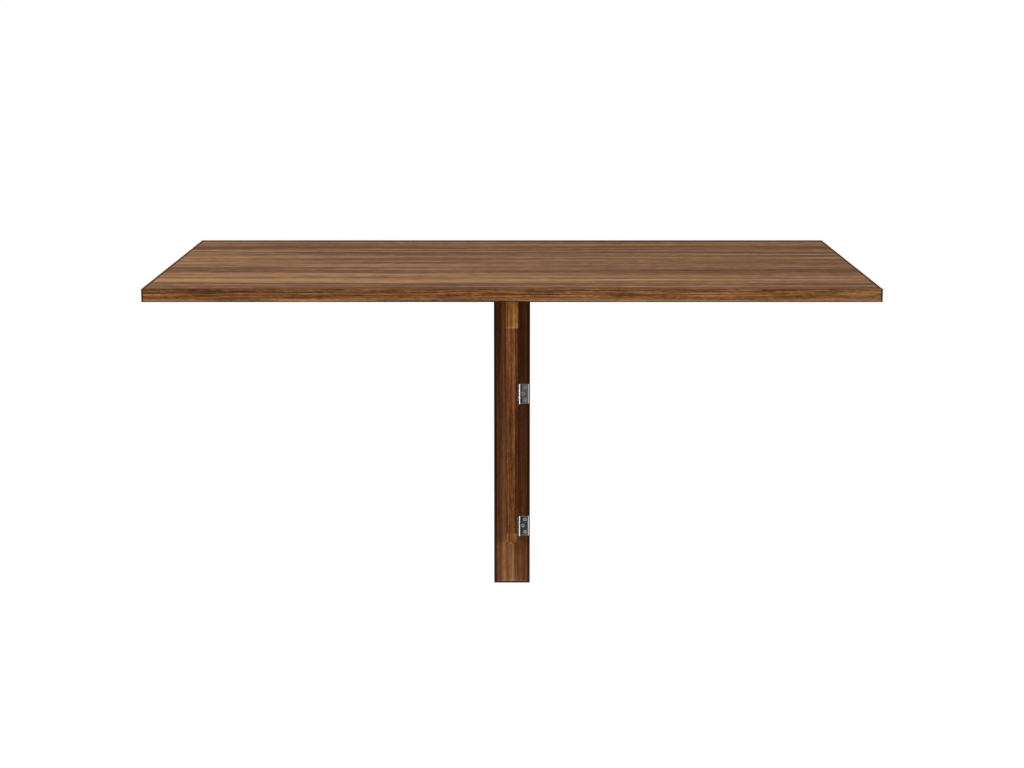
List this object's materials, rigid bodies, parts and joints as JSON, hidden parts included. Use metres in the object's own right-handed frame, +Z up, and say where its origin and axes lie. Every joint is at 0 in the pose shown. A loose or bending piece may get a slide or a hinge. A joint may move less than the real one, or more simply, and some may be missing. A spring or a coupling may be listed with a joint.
{
  "type": "wall mounted drop leaf table",
  "caption": "Wall table whose hinged leaf rests on a triangular bracket that swings out from a narrow upright wall board under a fixed shelf strip.",
  "frame": {"origin": "on the wall plane, midway between the two outer wall fixings of the rail", "axes": "+Z up, +Y into the wall, +X to the right along the wall as seen from the room"},
  "size_m": [1, 0.6, 0.565],
  "materials": {
    "board": "satin dark wood grain",
    "edge_band": "satin wood-grain band",
    "steel": "bright zinc plate",
    "zinc": "dull cast zinc",
    "beech": "raw beech"
  },
  "bodies": {
    "wall_frame": {"cam_bolts": "zinc", "cam_housings": "zinc", "fixed_shelf": "board", "left_leaf_hinge_pin": "steel", "left_leaf_hinge_shelf_plate": "steel", "lower_hinge_pin": "steel", "lower_hinge_wall_plate": "steel", "middle_hinge_pin": "steel", "middle_hinge_wall_plate": "steel", "rail_left_band": "edge_band", "rail_lower_left_band": "edge_band", "rail_lower_right_band": "edge_band", "rail_right_band": "edge_band", "right_leaf_hinge_pin": "steel", "right_leaf_hinge_shelf_plate": "steel", "shelf_dowels": "beech", "shelf_front_band": "edge_band", "shelf_left_band": "edge_band", "shelf_plate_screws": "steel", "shelf_right_band": "edge_band", "upper_hinge_pin": "steel", "upper_hinge_wall_plate": "steel", "wall_board": "board", "wall_board_dowels": "beech", "wall_board_foot_band": "edge_band", "wall_board_left_band": "edge_band", "wall_board_right_band": "edge_band", "wall_plate_screws": "steel", "wall_rail": "board"},
    "table_leaf": {"leaf_front_band": "edge_band", "leaf_left_band": "edge_band", "leaf_panel": "board", "leaf_plate_screws": "steel", "leaf_rear_band": "edge_band", "leaf_right_band": "edge_band", "left_leaf_hinge_leaf_plate": "steel", "right_leaf_hinge_leaf_plate": "steel"},
    "support_bracket": {"bracket_back_band": "edge_band", "bracket_bottom_band": "edge_band", "bracket_foot_band": "edge_band", "bracket_panel": "board", "bracket_plate_screws": "steel", "bracket_slope_band": "edge_band", "bracket_tip_band": "edge_band", "bracket_top_band": "edge_band", "lower_hinge_bracket_plate": "steel", "middle_hinge_bracket_plate": "steel", "upper_hinge_bracket_plate": "steel"}
  },
  "joints": [
    {"name": "bracket_swing", "type": "hinge", "parent": "wall_frame", "child": "support_bracket", "pos_m": [0.0119, -0.0209, -0.2], "axis": [0, 0, 1], "range_deg": [0, 90]},
    {"name": "leaf_lift", "type": "hinge", "parent": "wall_frame", "child": "table_leaf", "pos_m": [0, -0.05775, 0.0315], "axis": [1, 0, 0], "range_deg": [-3, 0]}
  ]
}
